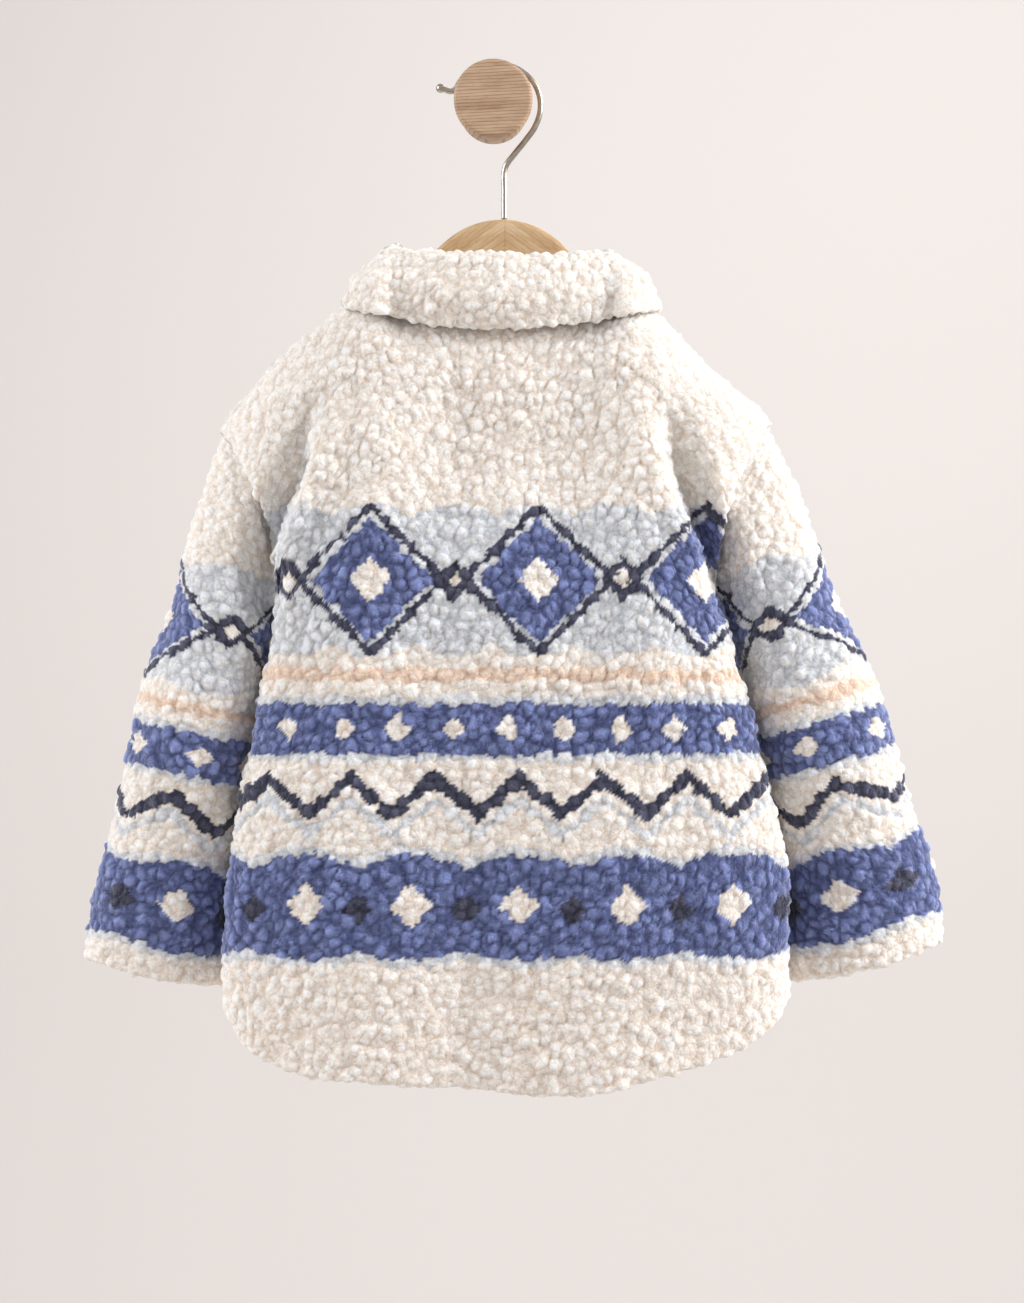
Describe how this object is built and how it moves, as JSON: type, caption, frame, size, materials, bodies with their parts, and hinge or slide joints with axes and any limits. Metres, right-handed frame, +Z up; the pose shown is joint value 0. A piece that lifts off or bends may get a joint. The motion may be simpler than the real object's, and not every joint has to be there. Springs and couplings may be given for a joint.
{
  "type": "fleece jacket on a hanger and wall peg",
  "caption": "Child's curly fleece jacket seen from the back, hung on a wooden hanger with a wire hook over a round wall peg.",
  "frame": {"origin": "centre of the peg's back face, on the wall", "axes": "+Z up, +Y into the wall, +X to the right in the view of the jacket's back, which is turned to -Y"},
  "size_m": [0.4602, 0.1034, 0.5499],
  "materials": {
    "fleece": "curly pile, cream with a blue and charcoal band pattern",
    "button": "satin",
    "hanger_wood": "satin lacquer",
    "wire": "satin nickel",
    "peg_wood": "oiled"
  },
  "bodies": {
    "root": {"back": "fleece", "front_left": "fleece", "front_right": "fleece", "sleeve_left": "fleece", "sleeve_right": "fleece", "collar": "fleece", "button_1": "button", "button_2": "button", "button_3": "button", "button_4": "button", "button_5": "button", "hanger": "hanger_wood", "hook": "wire", "peg": "peg_wood"}
  },
  "joints": []
}
